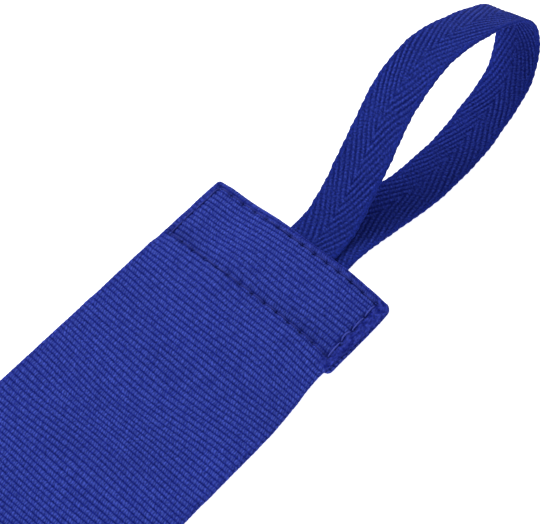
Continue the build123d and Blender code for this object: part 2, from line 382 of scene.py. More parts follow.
@dataclass(frozen=True)
class RibWeave:
    """Crosswise ribs of an elastic band: rows of small slanted floats with narrow grooves between them.

    The mesh carries the ribs, and the material draws the floats on them from the same rib count.
    """

    pitch: float = 1.2
    depth: float = 0.24
    wander: float = 0.6
    fullness: float = 0.6
    unevenness: float = 0.1
    face_offset: float = 60.0
    edge_pull: float = 0.4
    selvedge_width: float = 1.4
    selvedge_fade: float = 0.6
    selvedge_share: float = 0.4
    drift: Ripple = Ripple(seed=5, shortest=14.0, longest=60.0)
    grain: Ripple = Ripple(seed=8, shortest=0.9, longest=4.0)

    def count(self, along: np.ndarray, across: np.ndarray) -> np.ndarray:
        """Number of ribs up to a place, a whole number in a groove."""
        return along / self.pitch + self.wander * self.drift.at(along, across)

    def crest(self, along: np.ndarray, across: np.ndarray, ring: Ring) -> np.ndarray:
        """Height of the ribs, from nought in a groove to about one on a rib, other ones on the lower face.

        Args:
            along: Distance along the band.
            across: Distance across the band.
            ring: The band's cross-section.

        Returns:
            The height at each place.
        """
        apart = across + self.face_offset * (ring.normal_out < -0.5)
        profile = np.abs(np.sin(math.pi * self.count(along, apart))) ** self.fullness
        return profile * (1 - self.unevenness + self.unevenness * self.grain.at(along, apart))

    def selvedge(self, across: np.ndarray, width: float) -> np.ndarray:
        """How plain the weave is by the edges of a band of some width, nought where the ribs are full."""
        inside = (np.abs(across) - width / 2 + self.selvedge_width) / self.selvedge_fade
        return self.selvedge_share * smooth(inside)


@dataclass(frozen=True)
class HerringboneWeave:
    """Two-way twill of a tape: diagonal wales that part from the middle line, and a plain selvedge.

    The mesh carries the wales, and the material draws the yarns on them from the same count.
    """

    half_width: float
    spacing: float = 1.12
    selvedge_width: float = 1.5
    selvedge_fade: float = 0.6
    depth: float = 0.16
    wander: float = 0.4
    wale_height: float = 0.85
    unevenness: float = 0.12
    plain_height: float = 0.7
    plain_swell: float = 0.14
    plain_unevenness: float = 0.1
    plain_pitch: float = 0.8
    drift: Ripple = Ripple(seed=21, shortest=9.0, longest=40.0)
    grain: Ripple = Ripple(seed=23, shortest=0.8, longest=3.0)

    def count(self, along: np.ndarray, across: np.ndarray) -> np.ndarray:
        """Number of wales up to a place, a whole number on a wale.

        Args:
            along: Distance along the tape.
            across: Distance from the tape's middle line.

        Returns:
            The count at each place.
        """
        lean = math.radians(TAPE_LEAN_DEG)
        outward = np.abs(across) * math.cos(lean) - along * math.sin(lean)
        return outward / self.spacing + self.wander * self.drift.at(along, across)

    def crest(self, along: np.ndarray, across: np.ndarray) -> np.ndarray:
        """Height of the weave, from nought between the wales to one on them.

        Args:
            along: Distance along the tape.
            across: Distance from the tape's middle line.

        Returns:
            The height at each place.
        """
        wale = 0.5 + 0.5 * np.cos(TURN * self.count(along, across))
        grain = self.grain.at(along, across)
        plain = self.plain_height + self.plain_swell * np.cos(TURN * along / self.plain_pitch)
        plain = plain + self.plain_unevenness * grain
        edge = smooth((np.abs(across) - self.half_width + self.selvedge_width) / self.selvedge_fade)
        twill = wale * self.wale_height + self.unevenness * grain
        return np.clip(twill * (1 - edge) + plain * edge, 0.0, 1.1)


# ---------------------------------------------------------------- thread


@dataclass(frozen=True)
class SewingThread:
    """Three-ply sewing thread, as stitches between needle holes."""

    radius: float = 0.2
    plies: int = 3
    ply_depth: float = 0.08
    lay: float = 1.6
    sides: int = 12
    points: int = 18
    hole_gap: float = 0.03
    tip: float = 0.35
    seat: float = 0.35
    sink: float = 0.5
    sink_power: int = 5

    @property
    def shares(self) -> np.ndarray:
        """Where a stitch's points are between its two holes."""
        return np.linspace(self.hole_gap, 1 - self.hole_gap, self.points)

    @property
    def dive(self) -> np.ndarray:
        """How far the stitch's points sink into the cloth, most at its holes."""
        return self.sink * np.abs(2 * self.shares - 1) ** self.sink_power

    def tube(self, line: np.ndarray, normal: np.ndarray) -> Facets:
        """A twisted tube along a line.

        Args:
            line: Places along the stitch's middle.
            normal: Direction away from the cloth at each place.

        Returns:
            Places and four-cornered faces.
        """
        rows, count = len(line), self.sides
        along = unit(np.gradient(line, axis=0))
        side = unit(np.cross(along, normal))
        up = np.cross(side, along)
        run = run_along(line)
        angle = np.arange(count) / count * TURN
        twist = TURN * run[:, None] / self.lay / self.plies
        lobes = 1 - self.ply_depth * (1 - np.cos(self.plies * (angle[None] - twist)))
        taper = self.tip + (1 - self.tip) * np.sqrt(np.clip(np.sin(math.pi * run / run[-1]), 0, 1))
        reach = (self.radius * lobes * taper[:, None])[..., None]
        spokes = np.cos(angle)[None, :, None] * side[:, None] + np.sin(angle)[None, :, None] * up[:, None]
        places = (line[:, None] + reach * spokes).reshape(-1, 3)
        faces = ring_faces(rows, count)[:, [0, 3, 2, 1]]
        ends = []
        for base, order in ((0, 1), ((rows - 1) * count, -1)):
            for k in range(1, count // 2):
                corners = [base + k - 1, base + k, base + count - 1 - k, base + count - k]
                ends.append(corners[::order])
        return places, np.concatenate([faces, np.array(ends)])

    def stitch(self, hole: np.ndarray, other: np.ndarray, up: float, lift: Callable, slack: float) -> Facets:
        """One stitch between two needle holes.

        Args:
            hole: Plan place of one hole.
            other: Plan place of the next hole.
            up: One above the cloth, minus one below it.
            lift: Height of the cloth's face at plan places.
            slack: How far the stitch bows sideways.

        Returns:
            Places and four-cornered faces.
        """
        share, way = self.shares[:, None], other - hole
        bowed = slack * np.sin(math.pi * share) * np.array([-way[1], way[0]]) / np.linalg.norm(way)
        plan = hole + way * share + bowed
        height = lift(plan[:, 0], plan[:, 1]) + up * (self.seat * self.radius - self.dive)
        return self.tube(np.column_stack([plan, height]), np.tile([[0.0, 0.0, up]], (self.points, 1)))


@dataclass(frozen=True)
class SeamRow:
    """A row of the box seam, between two plan places, with its number of stitches."""

    start: tuple[float, float]
    end: tuple[float, float]
    count: int
    slack: float = 0.07
    draw: float = 1.0

    @property
    def length(self) -> float:
        """Length of the row."""
        return math.dist(self.start, self.end)

    @property
    def holes(self) -> np.ndarray:
        """Plan places of the needle holes."""
        share = np.arange(self.count + 1)[:, None] / self.count
        return np.array(self.start) * (1 - share) + np.array(self.end) * share

    def distance(self, x: np.ndarray, y: np.ndarray) -> tuple[np.ndarray, np.ndarray]:
        """Distance of places from the row, and their place along it.

        Args:
            x: Plan X.
            y: Plan Y.

        Returns:
            Distance from the row's line, and distance along it from its start.
        """
        start = np.array(self.start)
        way = (np.array(self.end) - start) / self.length
        run = (x - start[0]) * way[0] + (y - start[1]) * way[1]
        held = np.clip(run, 0, self.length)
        return np.hypot(x - start[0] - held * way[0], y - start[1] - held * way[1]), run


@dataclass(frozen=True)
class Pucker:
    """How the box seam draws the hem in: grooves along its rows, hollows at its holes, a shaded inner row;
    its holes and the band beside the inner row also get painted shade.
    """

    depth: float = 0.3
    groove: float = 0.75
    hollow: float = 2.2
    hollow_share: float = 0.35
    swell: float = 0.25
    hole: float = 0.5
    hole_depth: float = 0.35
    least_pull: float = 0.6
    seed: int = 17
    shade: float = 2.6
    shade_fade: float = 1.6
    shade_start: float = 0.4
    shade_wave: float = 5.2
    shade_swing: float = 0.35
    shade_depth: float = 0.9
    # Painted shade: how far the colour beside the inner row is darkened towards the needle-hole colour.
    shade_dark: float = 0.22


# ---------------------------------------------------------------- the band where it lies flat


@dataclass
class FreeEnd:
    """The laid free end of the band: flat stretch, ramp, hem, rounded fold and flap."""

    width: float
    thickness: float
    stack: float
    lift_x: float
    tape_low_y: float
    tape_high_y: float
    lift_bend: float = 15.0
    end_bow: float = 0.05
    end_skew: float = 0.4
    end_reach: float = 1.35
    creep_run: float = 26.0
    slit: float = 0.1
    sag_run: float = 12.0
    side_rise: float = 0.5
    thread_height: float = 0.25
    flap_length: float = 20.0
    flap_turn: float = 0.75
    flap_shift: float = 0.1
    draw_in: float = 0.15
    relax_out: float = 0.3
    relax_run: float = 20.0
    relax_end: float = 86.0
    relax_fade: float = 22.0
    notch_draw: float = 0.7
    notch_run: float = 9.0
    notch_flap: float = 0.8
    press: float = 0.45
    press_inside: float = 4.0
    press_end: float = 19.0
    press_fade: float = 3.0
    press_thin: float = 0.3
    ramp_start: float = 39.5
    ramp_end: float = 20.5
    corner_left: float = 0.9
    corner_right: float = 1.4
    flap_corner: float = 1.5
    end_inset: float = 1.9
    inner_depth: float = 17.1
    left_inset: float = 1.8
    right_inset: float = 3.5
    right_slant: tuple[float, float] = (0.8, 0.3)
    right_slack: float = 0.22
    left_draw: float = 0.3
    stitch_counts: tuple[int, int] = (13, 4)
    layer_fade: float = 0.8
    thread_sink: float = 0.35
    thread_follow: float = 0.9
    rub_fade: float = 0.8
    rub_end_fade: float = 0.6
    hem_fade: float = 1.5
    rub_left: float = 0.6
    rub_end: float = 0.4
    rub_under: float = 0.5
    rub_most: float = 0.88
    rubbed_height: float = 0.745
    rubbed_fuzz: float = 0.125
    lie_height: float = 0.108
    lie_least: float = 0.6
    lie_fade: float = 12.0
    edge_wave: float = 0.06
    edge_start: float = 3.0
    edge_offset: float = 30.0
    laid_step: float = 0.235
    laid_end: float = 87.0
    hem_step: float = 0.2
    flap_step: float = 0.5
    fold_rows: int = 13
    far_rows: int = 38
    columns: tuple[int, int] = (178, 16)
    pucker: Pucker = Pucker()
    weave: RibWeave = RibWeave()
    fuzz: Ripple = Ripple(seed=31, shortest=0.5, longest=1.6, waves=14)
    lie: Ripple = Ripple(seed=37, shortest=18.0, longest=60.0)
    edge: Ripple = Ripple(seed=3, shortest=3.0, longest=14.0)

    @property
    def fold_radius(self) -> float:
        """Radius of the middle line round the fold."""
        return (self.thickness + self.slit) / 2

    @property
    def fold_outside(self) -> float:
        """Outer radius of the fold."""
        return self.fold_radius + self.thickness / 2

    @property
    def fold_run(self) -> float:
        """Length of the middle line round the fold."""
        return math.pi * self.fold_radius

    @property
    def flap_path_end(self) -> float:
        """Length of cloth from the start of the fold to the flap's end."""
        return self.fold_run + self.flap_length - self.fold_outside

    @property
    def seam_sides(self) -> tuple[float, float]:
        """Where the left and right rows of the seam are across the band."""
        return self.width / 2 - self.left_inset, self.right_inset - self.width / 2

    @property
    def rows(self) -> dict[str, SeamRow]:
        """The four rows of the box seam. The right row slants, and its stitches are slack.

        Returns:
            The rows by name.
        """
        left, right = self.seam_sides
        end, inner = -self.end_inset, -self.inner_depth
        (across, along), (low, high) = self.stitch_counts, self.right_slant
        return {
            "end_row": SeamRow((end, left), (end, right), across),
            "inner_row": SeamRow((inner, left), (inner, right), across),
            "left_row": SeamRow((inner, left), (end, left), along, draw=self.left_draw),
            "right_row": SeamRow((inner, right - low), (end, right - high), along, slack=self.right_slack),
        }

    def shift(self, x: np.ndarray, y: np.ndarray) -> np.ndarray:
        """How far the sewn cloth has crept towards the hem's end, most at the end edge.

        Args:
            x: Distance from the straight end line, negative towards the roll.
            y: Distance across.

        Returns:
            The creep in X at each place.
        """
        part = y / (self.width / 2)
        end = self.end_reach - self.end_skew * part + self.end_bow * (1 - part**2)
        return end * (1 - smooth(-x / self.creep_run))

    def bed(self, y: np.ndarray) -> np.ndarray:
        """Height of what the flap lies on: the tape's tails, and beside them only the under thread."""
        outside = np.maximum(self.tape_low_y - y, y - self.tape_high_y)
        return self.side_rise + (self.stack - self.side_rise) * (1 - smooth(outside / self.sag_run))

    def base(self, x: np.ndarray, y: np.ndarray) -> np.ndarray:
        """Height of the laid band's underside, which doesn't lie quite flat.

        Args:
            x: Plan X.
            y: Plan Y.

        Returns:
            The height at each place.
        """
        ramp = smooth((x + self.ramp_start) / (self.ramp_start - self.ramp_end))
        lie = self.lie_height * (self.lie_least + self.lie.at(x, y))
        lie = lie * smooth((-x - self.flap_length) / self.lie_fade)
        return (self.bed(y) + self.thickness + self.slit) * ramp + np.maximum(lie, 0)

    def pressed(self, y: np.ndarray) -> np.ndarray:
        """How much the hem's layers are pressed together at some distance across, most at its edges."""
        return smooth((np.abs(y) - self.width / 2 + self.press_inside) / self.press_inside)

    def seam_marks(self, x: np.ndarray, y: np.ndarray) -> tuple[np.ndarray, np.ndarray]:
        """How far the seam draws the cloth's face down, and how much painted shade each place gets, most in a
        needle hole.

        Args:
            x: Plan X.
            y: Plan Y.

        Returns:
            Depth in millimetres, and a share of painted shade that is one in a needle hole.
        """
        pucker = self.pucker
        depth, hole = np.zeros_like(x), np.zeros_like(x)
        chance = np.random.default_rng(pucker.seed)
        for name, row in self.rows.items():
            pull = row.draw * (pucker.least_pull + (1 - pucker.least_pull) * chance.random(row.count + 1))
            away, run = row.distance(x, y)
            pitch = row.length / row.count
            groove = bell(away / pucker.groove) + pucker.hollow_share * bell(away / pucker.hollow)
            if name == "inner_row":
                start = smooth((x + self.inner_depth) / pucker.shade_fade + pucker.shade_start)
                swing = 1 + pucker.shade_swing * (np.sin(run / pucker.shade_wave + 1) - 1)
                shade = bell(away / pucker.shade) * start * swing
                groove = groove + pucker.shade_depth * shade
                # Painted shade: the band beside the inner row is darkened in colour through the hole share,
                # besides dipping in the mesh.
                hole = np.maximum(hole, pucker.shade_dark * shade)
            swell = 1 + pucker.swell * (np.cos(TURN * run / pitch) - 1)
            depth = np.maximum(depth, row.draw * pucker.depth * groove * swell)
            to_hole = (np.clip(run, 0, row.length) / pitch + 0.5) % 1 - 0.5
            nearest = np.clip(np.round(run / pitch), 0, row.count).astype(int)
            # Needle holes sink as real dimples, and their darkness is painted shade.
            hole = np.maximum(hole, pull[nearest] * bell(np.hypot(to_hole * pitch, away) / pucker.hole))
        return depth + pucker.hole_depth * hole, hole

    def ribbed(self, x: np.ndarray, y: np.ndarray, on_top: np.ndarray) -> np.ndarray:
        """How clearly the ribs show: less outside the seam, where the layers are pressed and rubbed.

        Args:
            x: Plan X.
            y: Plan Y.
            on_top: Where the place is on the hem's upper layer.

        Returns:
            A share at each place.
        """
        left, right = self.seam_sides
        outside_right = smooth((right - y) / self.rub_fade + 0.5)
        outside_left = smooth((y - left) / self.rub_fade + 0.5) * self.rub_left
        outside_end = smooth((x + self.end_inset) / self.rub_end_fade + 0.2) * self.rub_end
        in_hem = smooth((x + self.flap_length + 0.5) / self.hem_fade)
        rubbed = np.maximum(np.maximum(outside_right, outside_left), outside_end) * in_hem
        return 1 - self.rub_most * on_top * np.maximum(rubbed, self.weave.selvedge(y, self.width))

    def half_width(self, from_end: np.ndarray, y: np.ndarray, s: np.ndarray) -> np.ndarray:
        """Half width of the cloth, less at the rounded corners.

        Args:
            from_end: Distance from the hem's end edge.
            y: Distance across, whose sign tells left from right.
            s: Distance along the cloth from the fold, negative on the flap.

        Returns:
            Half width at each place.
        """
        radius = np.where(y > 0, self.corner_left, self.corner_right)
        inside = np.clip(radius - from_end, 0, radius)
        half = self.width / 2 - (radius - np.sqrt(np.maximum(radius**2 - inside**2, 0)))
        inside = np.clip(self.flap_corner - np.maximum(self.flap_path_end + s, 0), 0, self.flap_corner)
        cut = self.flap_corner - np.sqrt(self.flap_corner**2 - inside**2)
        return half - np.where(s < -self.fold_run, cut, 0)

    def distances(self) -> np.ndarray:
        """Distance of each row of points along the cloth, from the flap's end to the lift line.

        Returns:
            Distances, nought at the start of the fold on the upper layer, closest where ribs show most.
        """
        flap = np.arange(-self.flap_path_end, -self.fold_run, self.flap_step)
        fold = np.linspace(-self.fold_run, 0, self.fold_rows)
        hem = np.arange(self.hem_step, self.flap_length, self.hem_step)
        laid = np.arange(self.flap_length, self.laid_end, self.laid_step)
        far = np.linspace(self.laid_end, -self.lift_x - self.fold_outside, self.far_rows)
        return np.concatenate([flap, fold, hem, laid, far])

    def build(self) -> Piece:
        """Makes the free end as one closed strip.

        Returns:
            The piece.
        """
        ring = Ring(self.width, self.thickness, *self.columns)
        s = self.distances()[:, None]
        along = np.broadcast_to(s, (len(s), len(ring.y)))
        y0 = np.broadcast_to(ring.y, along.shape)
        bow = self.shift(-np.abs(s) + 0 * y0, y0)
        angle = np.clip(-s / self.fold_radius, 0, math.pi)
        turned = smooth(-s / self.fold_run)

        beyond = np.maximum(s, 0) + np.maximum(-s - self.fold_run, 0)
        x_mid = bow - self.fold_outside + self.fold_radius * np.sin(angle) - beyond
        from_end = bow - x_mid - self.thickness / 2
        relaxed = smooth((-x_mid - self.flap_length) / self.relax_run)
        spread = self.relax_out * relaxed * (1 - smooth((-x_mid - self.relax_end) / self.relax_fade))
        notch = self.notch_draw * bell((x_mid + self.flap_length) / self.notch_run) * (y0 < 0)
        notch = notch * (1 - (1 - self.notch_flap) * turned)
        drawn_in = self.draw_in * (1 - relaxed) - spread + notch
        y_mid = y0 * self.half_width(from_end, y0, s) / (self.width / 2) * (1 - drawn_in / (self.width / 2))
        y_mid = y_mid - turned * (self.flap_shift + self.flap_turn * np.maximum(-x_mid, 0) / self.flap_length)

        folded_z = self.bed(y_mid) + self.fold_outside + self.fold_radius * np.cos(angle)
        z_mid = np.where(s > 0, self.base(x_mid, y_mid) + self.thickness / 2, folded_z)
        pressed = self.pressed(y0) * (1 - smooth((-x_mid - self.press_end) / self.press_fade))
        z_mid = z_mid - self.press * pressed * (0.5 + 0.5 * np.cos(angle))
        slope = np.where(s > 0, np.gradient(z_mid, s[:, 0], axis=0), 0)
        normal_x = np.where(s > 0, slope / np.hypot(slope, 1), np.sin(angle))
        normal_z = np.where(s > 0, 1 / np.hypot(slope, 1), np.cos(angle))

        seen, face = ring.normal_out > -0.9, ring.normal_out > 0.3
        on_top = smooth(s / self.layer_fade + 1) * seen
        under = smooth(-(s + self.fold_run) / self.layer_fade + 1) * seen
        sewn = np.maximum(on_top, under) * face
        ribbed = self.ribbed(x_mid - bow, y_mid, np.maximum(on_top, self.rub_under * under))
        fuzz = self.rubbed_height + self.rubbed_fuzz * self.fuzz.at(along, y0)
        height = self.weave.crest(along, y0, ring) * ribbed + fuzz * (1 - ribbed)
        drawn, hole = (mark * sewn for mark in self.seam_marks(x_mid - bow, y_mid))
        inward = self.weave.depth * (1 - height)
        out = ring.out * (1 - self.press_thin * pressed) - ring.normal_out * (inward + drawn)
        waved = self.edge_wave * self.edge.at(along, self.edge_offset * np.sign(y0)) * np.sign(y0)
        y = y_mid - ring.normal_y * (self.weave.edge_pull * inward)
        y = y + waved * smooth((np.abs(y0) - self.width / 2 + self.edge_start) / self.edge_start)
        rings = np.stack([x_mid + normal_x * out, y, np.maximum(z_mid + normal_z * out, 0.0)], -1)
        # The hole share is painted shade: in needle holes and in the band beside the inner row.
        values = {"rib": self.weave.count(along, y0), "across": y0, "hole": hole, "worn": 1 - ribbed}

        piece = strip_object("band_free_end_cloth", rings, s[:, 0], ring.arc, values)
        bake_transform(piece)
        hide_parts("band_free_end")
        return piece

    def top(self, x: np.ndarray, y: np.ndarray) -> np.ndarray:
        """Height of the hem's upper face, where the needle thread lies.

        Args:
            x: Plan X.
            y: Plan Y.

        Returns:
            The height at each place.
        """
        drawn, _ = self.seam_marks(x - self.shift(x, y), y)
        face = self.base(x, y) + self.thickness - self.press * self.pressed(y)
        sunk = self.thread_sink * self.weave.depth + self.thread_follow * np.minimum(drawn, self.pucker.depth)
        return face - sunk


@dataclass
class HemSeam:
    """The box seam of the hem: needle thread above and bobbin thread below."""

    free_end: FreeEnd
    lower_tail_y: tuple[float, float]
    upper_tail_z: float
    bite: float = 0.02
    thread: SewingThread = SewingThread()

    def under(self, x: np.ndarray, y: np.ndarray) -> np.ndarray:
        """Height of what the bobbin thread lies against, seen from below.

        Args:
            x: Plan X.
            y: Plan Y.

        Returns:
            The height at each place.
        """
        low, high = self.lower_tail_y
        on_upper = (y > high) & (y < self.free_end.tape_high_y)
        height = np.where(on_upper, self.upper_tail_z, self.free_end.bed(y))
        return np.where((y > low) & (y <= high), self.free_end.thread_height, height) - self.bite

    def stitches(self, row: SeamRow, up: float, lift: Callable) -> list[Facets]:
        """All stitches of a row on one face.

        Args:
            row: The seam row.
            up: One above the cloth, minus one below it.
            lift: Height of the cloth's face at plan places.

        Returns:
            One small mesh for each stitch.
        """
        chance = np.random.default_rng(row.count)
        holes = row.holes + chance.normal(0, row.slack, row.holes.shape)
        holes[:, 0] += self.free_end.shift(holes[:, 0], holes[:, 1])
        slacks = chance.normal(0, row.slack, row.count)
        return [self.thread.stitch(*pair, up, lift, slack) for *pair, slack in zip(holes, holes[1:], slacks)]

    def build(self) -> list[Piece]:
        """Makes the four needle rows and the bobbin thread.

        Returns:
            The five pieces.
        """
        pieces, below = [], []
        for name, row in self.free_end.rows.items():
            needle = parts_object(f"hem_thread_{name}", self.stitches(row, 1.0, self.free_end.top))
            pieces.append(declare(needle, "free_end", "sewing_thread", f"hem_stitch_{name}"))
            below += self.stitches(row, -1.0, self.under)
        bobbin = parts_object("hem_thread_bobbin", below)
        return [*pieces, declare(bobbin, "free_end", "sewing_thread", "hem_bobbin_stitches")]


# ---------------------------------------------------------------- thumb tape


@dataclass
class ThumbTape:
    """One length of herringbone tape: two tails under the hem and the free hoop."""

    root_x: float
    tail_end_x: float
    upper_tail: tuple[float, float]
    lower_tail: tuple[float, float]
    width: float = TAPE_WIDTH
    thickness: float = TAPE_THICKNESS
    hinge_bend: tuple[float, float] = (-0.4, 5.5)
    root_run_upper: float = 9.5
    root_run_lower: float = 8.0
    tilt_deg: float = 17.5
    tilt_power: float = 0.9
    bend_before: float = 12.0
    bend_run: float = 13.0
    bend_drop: float = 0.5
    bend_tilt_deg: float = 4.0
    row_step: float = 0.26
    hoop_points: int = 2400
    tail_points: int = 200
    columns: tuple[int, int, int] = (53, 53, 3)
    free_run: float = 6.0
    scallop_pitch: float = 1.85
    scallop_height: float = 0.07
    scallop_inset: float = 0.12
    edge_width: float = 1.3
    edge_wave: float = 0.14
    edge_offset: float = 50.0
    edge_pull: float = 0.5
    cup_height: float = 0.15
    ease_height: float = 0.16
    worn_width: float = 1.5
    worn_fade: float = 0.7
    floor: float = 0.02
    edge: Ripple = Ripple(seed=47, shortest=4.0, longest=12.0)
    cup: Ripple = Ripple(seed=52, shortest=25.0, longest=60.0)
    ease: Ripple = Ripple(seed=55, shortest=7.0, longest=22.0)
    points: tuple[tuple[float, float, float], ...] = (
        (33.5, 4.0, 31.0),
        (60.5, 0.5, 24.5),
        (72.0, -1.5, 19.5),
        (67.0, -7.0, 4.5),
        (50.0, -9.0, 2.4),
        (28.0, -10.5, 1.9),
    )

    def middle_line(self) -> tuple[np.ndarray, np.ndarray, np.ndarray, np.ndarray]:
        """The tape's middle line from one tail's end to the other's.

        Returns:
            Places, directions across the tape, directions along it, and distances from its first end.
        """
        upper, lower = (self.root_x, *self.upper_tail), (self.root_x, *self.lower_tail)
        rise = (self.root_x + self.root_run_upper, *self.upper_tail)
        landing = (self.root_x + self.root_run_lower, *self.lower_tail)
        control = [upper, rise, *self.points, landing, lower]
        hoop = clamped_spline(control, np.linspace(0, 1, self.hoop_points))
        tail_x = np.linspace(self.tail_end_x, self.root_x, self.tail_points)[:-1]
        first, last = (np.tile(root, (len(tail_x), 1)) for root in (upper, lower))
        first[:, 0], last[:, 0] = tail_x, tail_x[::-1]
        line = np.concatenate([first, hoop, last])
        run = run_along(line)
        at = np.linspace(0, run[-1], round(run[-1] / self.row_step))
        even = np.stack([np.interp(at, run, line[:, k]) for k in range(3)], -1)
        along = unit(np.gradient(even, axis=0))
        reach = even[:, 0].max() - self.root_x
        share = np.clip((even[:, 0] - self.root_x) / reach, 0, 1) ** self.tilt_power
        bend = bell((at - at[even[:, 0].argmax()] + self.bend_before) / self.bend_run)
        even[:, 2] -= self.bend_drop * bend
        tilt = math.radians(self.tilt_deg) * share + math.radians(self.bend_tilt_deg) * bend
        across = np.stack([np.zeros_like(tilt), -np.cos(tilt), np.sin(tilt)], -1)
        across = unit(across - along * (across * along).sum(1)[:, None])
        return even, across, along, at

    def build(self) -> Piece:
        """Makes the whole tape as one closed strip.

        Returns:
            The piece.
        """
        line, across, along, at = self.middle_line()
        normal = np.cross(across, along)
        ring = Ring(self.width, self.thickness, *self.columns)
        weave = HerringboneWeave(self.width / 2)
        hinge_x = self.root_x - HINGE_BEFORE_ROOT
        w = np.broadcast_to(ring.y, (len(at), len(ring.y)))
        run = np.broadcast_to(at[:, None], w.shape)
        inward = weave.depth * (1 - weave.crest(run, w))
        free = smooth((line[:, :1] - hinge_x) / self.free_run)
        scallop = self.scallop_height * np.cos(TURN * run / self.scallop_pitch) - self.scallop_inset
        scallop = scallop + self.edge_wave * self.edge.at(run, self.edge_offset * np.sign(w))
        by_edge = smooth((np.abs(w) - self.width / 2 + self.edge_width) / self.edge_width)
        cup = self.cup_height * (w / (self.width / 2)) ** 2 * self.cup.at(run, 0 * w)
        ease = self.ease_height * self.ease.at(run, w)
        out = ring.out - ring.normal_out * inward + (cup + ease) * free
        sideways = w - ring.normal_y * (self.edge_pull * inward) + by_edge * np.sign(w) * scallop * free
        rings = line[:, None] + sideways[..., None] * across[:, None] + out[..., None] * normal[:, None]
        rings[..., 2] = np.maximum(rings[..., 2], self.floor)
        worn = smooth((np.abs(w) - self.width / 2 + self.worn_width) / self.worn_fade)
        values = {"wale": weave.count(run, w), "along": run, "across": w, "worn": worn, "hole": 0 * w}

        piece = strip_object("thumb_tape", rings, at, ring.arc, values, lanes=3)
        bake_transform(piece)
        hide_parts("thumb_loop", "thumb_loop_ends")
        return piece


# ---------------------------------------------------------------- roll


@dataclass
class WoundPath:
    """The band's middle line from the lift line, along the lead and round the roll to its core."""

    thickness: float
    roll_x: float
    lead: float
    laid: float
    band_length: float = BAND_LENGTH
    core_guess: float = 7.0
    turn_gap: float = 0.1
    hook_half_turns: int = 3
    pile_half_turns: int = 4
    hook_thickness: float = 1.3
    pile_thickness: float = 1.5
    seam_room: float = 0.35
    radii: list[float] = field(init=False)
    centres: list[float] = field(init=False)

    def __post_init__(self) -> None:
        """Works out the half turns from the core outwards."""
        steps = [0.0]
        rolled = self.band_length - self.lead - self.laid
        while math.pi * sum(self.core_guess + step for step in steps) < rolled:
            index = len(steps)
            steps.append(steps[-1] + max(self.room(index), self.room(index + 1)) / 2)
        if len(steps) % 2:
            steps.pop()
        core = (rolled / math.pi - sum(steps)) / len(steps)
        self.radii = [core + step for step in steps]
        centre = self.radii[-1] + self.thickness / 2
        self.centres = [centre] * len(steps)
        for index in range(len(steps) - 1, 0, -1):
            centre -= self.side(index) * (self.radii[index] - self.radii[index - 1])
            self.centres[index - 1] = centre

    @staticmethod
    def side(index: int) -> int:
        """Which side of the roll a half turn is on."""
        return 1 if index % 2 == 0 else -1

    def room(self, index: int) -> float:
        """Room for cloth and patches between a half turn and the one inside it.

        Args:
            index: Number of the half turn, from the core outwards.

        Returns:
            The room in millimetres.
        """
        room = self.thickness + self.turn_gap
        if 2 <= index < self.hook_half_turns:
            room += self.hook_thickness + self.seam_room
        if 2 <= index < self.pile_half_turns + 2:
            room += self.pile_thickness + self.seam_room
        return room

    def frames(self, s: np.ndarray) -> tuple[np.ndarray, np.ndarray]:
        """Places and upward normals on the middle line.

        Args:
            s: Distances from the lift line, growing towards the core.

        Returns:
            X and Z of each place, and X and Z of the normal of the face that is upper in the lead.
        """
        places = np.column_stack([self.roll_x + self.lead - s, np.full_like(s, self.thickness / 2)])
        normals = np.tile([0.0, 1.0], (len(s), 1))
        start = self.lead
        for index in range(len(self.radii) - 1, -1, -1):
            radius, side = self.radii[index], self.side(index)
            here = (s > start) & ((s <= start + math.pi * radius) | (index == 0))
            angle = (s[here] - start) / radius
            outward = np.stack([side * np.sin(angle), side * np.cos(angle)], -1)
            places[here] = np.array([self.roll_x, self.centres[index]]) + radius * outward
            normals[here] = -outward
            start += math.pi * radius
        return places, normals

    def points(self, s: np.ndarray, y: np.ndarray, out: np.ndarray) -> np.ndarray:
        """Places off the middle line.

        Args:
            s: Distances from the lift line.
            y: Distances across the band, a number or a row of numbers for each place.
            out: Distances along the upward normal, of the same shape.

        Returns:
            Three numbers for each place.
        """
        places, normals = (each.reshape(len(s), *[1] * (out.ndim - 1), 2) for each in self.frames(s))
        x, z = np.moveaxis(places + normals * out[..., None], -1, 0)
        return np.stack([x, y, z], -1)

    @property
    def length(self) -> float:
        """Length from the lift line to the band's closure end in the core."""
        return self.lead + math.pi * sum(self.radii)

    def core_run(self, half_turns: int) -> float:
        """Length of the innermost half turns."""
        return math.pi * sum(self.radii[:half_turns])


